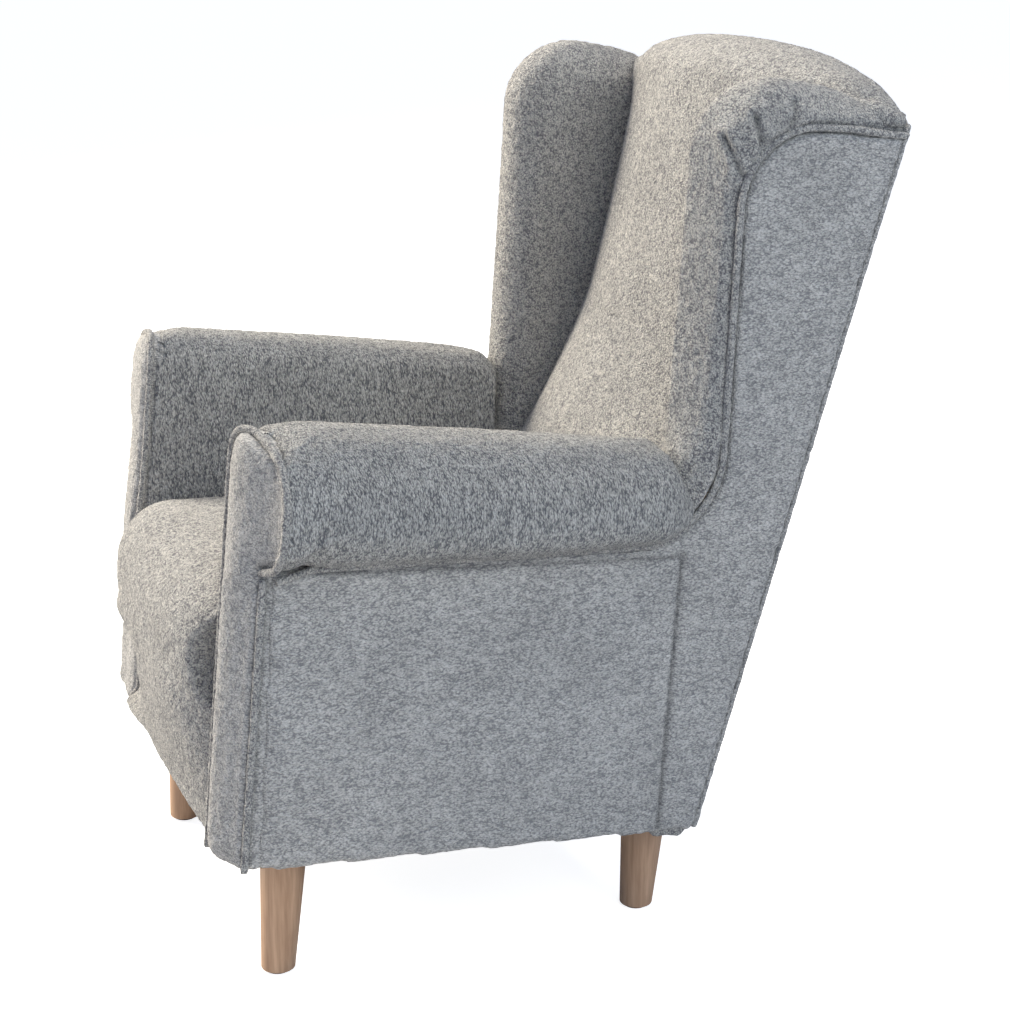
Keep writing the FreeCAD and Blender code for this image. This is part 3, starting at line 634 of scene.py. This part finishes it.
# Teddy pile brushed down over the arm: longer streaks, with darker gaps between them.
standing_pile = teddy("teddy_pile_down_the_roll", (1, 0.8, 2.0), "75777c", "eeedea", 0.008)
arm = over_solids("arm_left", ("arm_cover_left", "arm_foam_left", "arm_rail_left"))

# The roll's underside is drawn up to the piping, most of all towards the front.
UNDER_FRONT_UP, UNDER_REAR_LESS = 7, 3
b = to_body(points_of(arm))
lift = (UNDER_FRONT_UP - UNDER_REAR_LESS * smooth(b[:, 1], -150, 50)) * smooth(b[:, 1], -318, -285)
b[:, 2] += lift * smooth(b[:, 0], 335, 350) * (1 - smooth(b[:, 2], 366, 415))
set_points(arm, from_body(b))

# The top's front corner, where the solids leave a notch.
TOP_CORNER, CORNER_REACH = (296, -325, 500), 30
from_corner = np.linalg.norm(to_body(points_of(arm)) - TOP_CORNER, axis=1)
softened(arm, np.flatnonzero(from_corner < CORNER_REACH), 30)
filled(arm, lambda p: (p[:, 1] < -312) * 1.0 + (p[:, 2] < 200) * 1.0 + (np.abs(p[:, 0]) < 247) * 0.5,
       cap=0.004)
finer(arm)
pressed_beside(arm, ("arm_front_welt_left", "wing_arm_welt_left"), 2.5, 9, shade_strength=0)

# The left arm's rim comes forward to the piping round its front.
RIM_FORWARD = 7
for side, piece in (("left", arm), ("right", mirrored(arm, "arm_right"))):
    b = to_body(points_of(piece))
    b[:, 2] += crowned(b, side)
    if side == "right":
        b[:, 1] += set_back(b)
    else:
        rim = smooth(b[:, 0], 340, 372) * smooth(b[:, 1], -300, -318)
        b[:, 1] -= RIM_FORWARD * rim
    set_points(piece, from_body(b))
    curly(piece)
    dress(piece, ("arm_cover_" + side, "arm_foam_" + side), standing_pile)


# The arm fronts: a pillowed facing over each scroll board, piped round the edge. The two were not
# filled alike: the left one stands fuller and further forward, the right one lies flatter.

# The facing's inner edge and width, how much wider it is in the roll, and where the roll starts.
FACING_INSIDE, FACING_WIDTH, ROLL_WIDER, ROLL_FOOT = 245, 84.5, 24.5, 325
# At these shares of its width, from the inner to the outer edge: where the left facing stands, where
# its solid does, and how far back from the solid the roll above it goes.
FACING_SHARE = (0.0, 0.1, 0.2, 0.38, 0.5, 0.65, 0.8, 0.92, 1.0)
FACING_FRONT = (-351.5, -358.5, -362.5, -366.0, -362.0, -354.5, -346.5, -340.0, -334.0)
SOLID_FRONT = (-354.5, -357.0, -358.5, -357.5, -354.8, -352.3, -349.6, -343.5, -335.0)
ROLL_BACK = (3.0, -1.5, -4.5, -8.0, -9.0, -5.0, 3.0, 10.0, 14.0)

# Teddy pile combed flat, as on every panel: short streaks and shallow gaps.
lying_pile = teddy("teddy_pile_along_the_side", (1, 1.6, 0.8), "909092", "dedcda", 0.0035)
front = over_solids("arm_front_left", ("arm_facing_left", "facing_pad_left", "arm_board_left"), voxel=0.005,
                    grow=0.001)
for side, piece in (("left", front), ("right", mirrored(front, "arm_front_right"))):
    b = to_body(points_of(piece))
    in_roll = smooth(b[:, 2], 322, 350)
    across = (np.abs(b[:, 0]) - FACING_INSIDE) / (FACING_WIDTH + ROLL_WIDER * in_roll)
    ahead = smooth(b[:, 1], -318, -342)
    if side == "left":
        below = np.interp(across, FACING_SHARE, FACING_FRONT) - np.interp(across, FACING_SHARE, SOLID_FRONT)
        b[:, 1] += ahead * (below + (np.interp(across, FACING_SHARE, ROLL_BACK) - below) * in_roll)
    else:
        b[:, 1] += set_back(b)
    b[:, 2] += crowned(b, side)
    set_points(piece, from_body(b))
    finer(piece)
    softened(piece, np.flatnonzero(to_body(points_of(piece))[:, 2] > ROLL_FOOT), 40)
    pressed_beside(piece, ("arm_front_welt_" + side, "side_front_welt_" + side), 3.5, 9)
    curly(piece)
    dress(piece, ("arm_facing_" + side, "facing_pad_" + side), lying_pile)


# The wings: padded boards whose soft front roll runs up the edge and back along the top, gathered at
# the corner. The left one is drawn back further towards its piping.

# The wing's outline in its own side view: its front edge, its top where the two edges meet, the
# corner's radius, and the angle at which the top falls to the rear.
WING_FRONT, WING_TOP, WING_CORNER, TOP_FALL = 161.4, 919.0, 92.0, math.radians(10.5)
# The planes that draw the left roll back: each leans by so many degrees, starts at an X and stands so
# far inside or outside the outline. The roll follows them outside of the first X below, by no more
# than the distance after it, and by the share after that.
DRAWN_BACK = ((28, 246, 5.0), (50, 308, -24.0))
DRAWN_INSIDE, DRAWN_MOST, DRAWN_SHARE = 236, 40, 0.9
slant_back = math.radians(DRAWN_BACK[0][0])
# How much further back the top's rear end goes, and how the roll's foot is set over the arm.
REAR_LONGER = 7
FOOT_OUT, FOOT_FORWARD, FOOT_DOWN = 5, 9, 10
gathers = ([(330, 264, 877), (335, 263, 866), (336, 262, 856), (333, 258, 844)],
           [(326, 217, 857), (334, 219, 841), (335, 224, 828), (335, 228, 818)],
           [(309, 188, 832), (322, 194, 814), (326, 202, 798), (327, 208, 790)])
wing = over_solids("wing_left", ("wing_cover_left", "wing_foam_left", "wing_board_left", "back_post_left"))
filled(wing, lambda p: (p[:, 2] < 400) * 1.0 + (p[:, 1] > 380) * 1.0, cap=0.003)
for side, sign, piece in (("left", 1, wing), ("right", -1, mirrored(wing, "wing_right"))):
    if side == "left":
        b = to_body(points_of(piece))
        behind = b[:, 1] - WING_FRONT
        below = (WING_TOP - math.tan(TOP_FALL) * behind - b[:, 2]) * math.cos(TOP_FALL)
        from_front = np.clip(WING_CORNER - behind, 0, None)
        from_top = np.clip(WING_CORNER - below, 0, None)
        corner = np.hypot(from_front, from_top)
        inside = WING_CORNER - corner
        along = np.maximum(corner, 1)
        over = np.zeros(len(b))
        for degrees, start, proud in DRAWN_BACK:
            slant = math.radians(degrees)
            beyond = math.sin(slant) * (b[:, 0] - start) - math.cos(slant) * (inside + proud)
            over = np.maximum(over, beyond)
        reached = (corner > 1) & (b[:, 0] > DRAWN_INSIDE)
        over = np.where(reached, np.clip(over, 0, DRAWN_MOST), 0) * DRAWN_SHARE
        over *= smooth(from_front / along, 0.1, 0.9) * smooth(b[:, 2], 445, 520)
        b[:, 0] -= math.sin(slant_back) * over
        b[:, 1] += math.cos(slant_back) * over * (from_front - from_top * math.sin(TOP_FALL)) / along
        b[:, 2] -= math.cos(slant_back) * over * from_top * math.cos(TOP_FALL) / along
        set_points(piece, from_body(b))
    b = to_body(points_of(piece))
    b[:, 2] += drooped(b)
    b[:, 1] += REAR_LONGER * smooth(b[:, 1], 360, 410) * smooth(b[:, 2], 825, 850)
    foot = 1 - smooth(b[:, 2], 425, 460)
    foot = foot * smooth(np.abs(b[:, 0]), 285, 310) * (1 - smooth(b[:, 1], 215, 235))
    b += foot[:, None] * (FOOT_OUT * sign, -FOOT_FORWARD, -FOOT_DOWN)
    set_points(piece, from_body(b))
    finer(piece)
    pressed_beside(piece, ("wing_arm_welt_" + side,), 4, 11)
    pressed(piece, [on_side(valley, sign)], 5, 9, shade_strength=0.5)
    gathered = [on_side(line, sign) for line in gathers]
    pressed(piece, gathered[:2], 11, 5, puff=5)
    pressed(piece, gathered[2:], 7, 4.5, puff=4.5)
    curly(piece)
    dress(piece, ("wing_cover_" + side, "wing_foam_" + side), loose_pile)


# The flat outer sides: one panel under the arm and one up the wing, over a thin felt. An upright seam
# joins them, and the lower one is pulled in under the piping that follows the arm.
PANEL_OUT = 331
upright_seam = ((PANEL_OUT, 172, 350), (PANEL_OUT, 172, 0))
under_arm = ((PANEL_OUT, -262, 348), (PANEL_OUT, 176, 348))
outer = over_solids("outer_side_left", ("side_panel_left", "outer_wing_panel_left", "side_padding_left"),
                    grow=0.002, rounds=3)
b = to_body(points_of(outer))
b[:, 2] += drooped(b)
set_points(outer, from_body(b))
finer(outer)
pressed_beside(outer, ("side_front_welt_left", "wing_arm_welt_left"), 3.5, 9)
pressed(outer, [upright_seam], 3.4, 4.2)
# A line of painted shade under the arm's piping.
pressed(outer, [under_arm], 1.5, 3, shade_strength=0.7)
for side, piece in (("left", outer), ("right", mirrored(outer, "outer_side_right"))):
    if side == "right":
        b = to_body(points_of(piece))
        b[:, 1] += set_back(b)
        set_points(piece, from_body(b))
    curly(piece, 0.0022)
    dress(piece, ("side_panel_" + side, "outer_wing_panel_" + side, "side_padding_" + side), lying_pile)


# The outside back: one flat raked panel of the same cloth, turned in and stitched along its edges,
# with its top under the crest.
BACK_FOOT, BACK_TOP, BACK_HALF, RAKE = 223.9, 862.0, 329.5, math.tan(math.radians(12.7))
form = bmesh.new()
bmesh.ops.create_grid(form, x_segments=74, y_segments=94, size=0.5)
for vertex in form.verts:
    height = (vertex.co.y + 0.5) * BACK_TOP
    vertex.co = from_body([(vertex.co.x * 2 * BACK_HALF, BACK_FOOT + RAKE * height - 1, height)])[0]
bmesh.ops.recalc_face_normals(form, faces=form.faces)
rear_panel = as_object(form, "outside_back")
thick = rear_panel.modifiers.new("thick", "SOLIDIFY")
thick.thickness = 0.006
thick.offset = 0
settled(rear_panel)
b = to_body(points_of(rear_panel))
b[:, 2] += drooped(b)
set_points(rear_panel, from_body(b))
finer(rear_panel)
curly(rear_panel, 0.0022)
dress(rear_panel, ("outside_back_panel",), lying_pile)


# The piping: a cord wrapped in the same cloth and sewn into the seams round each arm's front, up each
# side's front edge, and from under each arm up round its wing.

# Under the arm the cord lies lower than its solid, most of all at the front, and further out. The
# inner end of the cord round the left arm's front comes forward.
UNDER_LOWER, FRONT_LOWER, UNDER_OUT, FRONT_CORD_FORWARD = 3, 12, 6, 8
for side, sign in (("left", 1), ("right", -1)):
    for place in ("arm_front_welt_", "side_front_welt_", "wing_arm_welt_"):
        node = place + side
        welt = over_solids("piping_" + node, (node,), voxel=0.0022, grow=0.0013, rounds=2)
        b = to_body(points_of(welt))
        b[:, 2] += drooped(b)
        if place == "arm_front_welt_":
            b[:, 2] += crowned(b, side)
        elif place == "wing_arm_welt_":
            under = 1 - smooth(b[:, 2], 368, 392)
            b[:, 2] -= under * (UNDER_LOWER + FRONT_LOWER * smooth(b[:, 1], -270, -325))
            b[:, 0] += UNDER_OUT * sign * under
        if node == "arm_front_welt_left":
            b[:, 1] -= FRONT_CORD_FORWARD * (1 - smooth(b[:, 0], 262, 300))
        elif side == "right":
            b[:, 1] += set_back(b)
        set_points(welt, from_body(b))
        curly(welt, 0.0018)
        dress(welt, (node,), loose_pile)


# The dust cover: one sheet of black non-woven cloth under the frame, cut out round the leg plates and
# stapled flat along the rails, sagging a little in the middle.

# Body-frame millimetres: the sheet's half width, front and rear edges, sag and height, the middle and
# half length that the sag is taken over, and the places and half width of the leg plates.
DUST_X, DUST_FRONT, DUST_REAR, SAG, STAPLED_AT = 318.0, -318.0, 220.9, 3.0, -0.6
DUST_MIDDLE, DUST_HALF = -48.5, 269.5
PLATE_X, PLATES_Y, PLATE = 234.7, (-267.0, 199.3), 23.5
rows = list(np.linspace(-DUST_X, DUST_X, 25))
rows = sorted(rows + [s * PLATE_X + e for s in (-1, 1) for e in (-PLATE, PLATE)])
columns = list(np.linspace(DUST_FRONT, DUST_REAR, 21))
columns = sorted(columns + [min(y + e, DUST_REAR - 0.5) for y in PLATES_Y for e in (-PLATE, PLATE)])


def hung(x, y):
    """A point of the sheet, in the scene."""
    bowed = (1 - (x / DUST_X) ** 2) * (1 - ((y - DUST_MIDDLE) / DUST_HALF) ** 2)
    return from_body([(x, y, STAPLED_AT - SAG * bowed)])[0]


form = bmesh.new()
net = [[form.verts.new(hung(x, y)) for y in columns] for x in rows]
for i in range(len(rows) - 1):
    for j in range(len(columns) - 1):
        middle = ((rows[i] + rows[i + 1]) / 2, (columns[j] + columns[j + 1]) / 2)
        if any(abs(abs(middle[0]) - PLATE_X) < PLATE and abs(middle[1] - y) < PLATE for y in PLATES_Y):
            continue
        form.faces.new((net[i][j], net[i + 1][j], net[i + 1][j + 1], net[i][j + 1]))
bmesh.ops.delete(form, geom=[v for v in form.verts if not v.link_faces], context="VERTS")
dust_cloth = as_object(form, "dust_cloth")
thick = dust_cloth.modifiers.new("thick", "SOLIDIFY")
thick.thickness = 0.0006
thick.offset = 0
settled(dust_cloth)

# Non-woven polypropylene, spun and embossed: black and dull, with a fine dot every 2 mm.
DOT_PITCH, FIBRE_CLUMP = 0.002, 0.0012
nonwoven = new_material("black_nonwoven_cloth")
place = add(nonwoven, "TexCoord").outputs["Object"]
dots = add(nonwoven, "TexVoronoi", {"feature": "F1"}, Vector=place, Scale=1 / DOT_PITCH, Randomness=0)
strands = add(nonwoven, "TexNoise", Vector=place, Scale=1 / FIBRE_CLUMP, Detail=3)
tone = add(nonwoven, "ValToRGB", Fac=strands.outputs["Fac"])
tone.color_ramp.elements[0].color = linear("1d1d1f")
tone.color_ramp.elements[1].color = linear("3b3b3e")
relief = add(nonwoven, "Bump", Strength=0.5, Distance=0.0002, Height=dots.outputs["Distance"])
cloth = add(nonwoven, "BsdfPrincipled", Base_Color=tone.outputs[0], Roughness=0.85,
            Normal=relief.outputs[0])
add(nonwoven, "OutputMaterial", Surface=cloth.outputs[0])
dust_cloth.data.materials.append(nonwoven)
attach(dust_cloth, "root")
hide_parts("dust_cover")


# The legs: four tapered turnings, screwed through zinc-plated plates into the corner blocks, each on
# a moulded glide.
# Beech, turned, steamed to a pinkish tan, under clear matt lacquer: a soft shine along the grain.
leg_beech = wood("beech_clear_lacquer", GRAIN_ALONG_Z, "a98468", "cda98b", 0.45, 0.0003)
# Polyethylene, moulded: dark brown and matt, finely grained.
glide = matt("matt_plastic", "17130f", "2b241e", 0.55, 0.0008, 0.0001)
finish(leg_beech, "front_leg", "rear_leg")
finish(zinc_steel, "leg_plates", "leg_bolts")
finish(glide, "leg_glides")
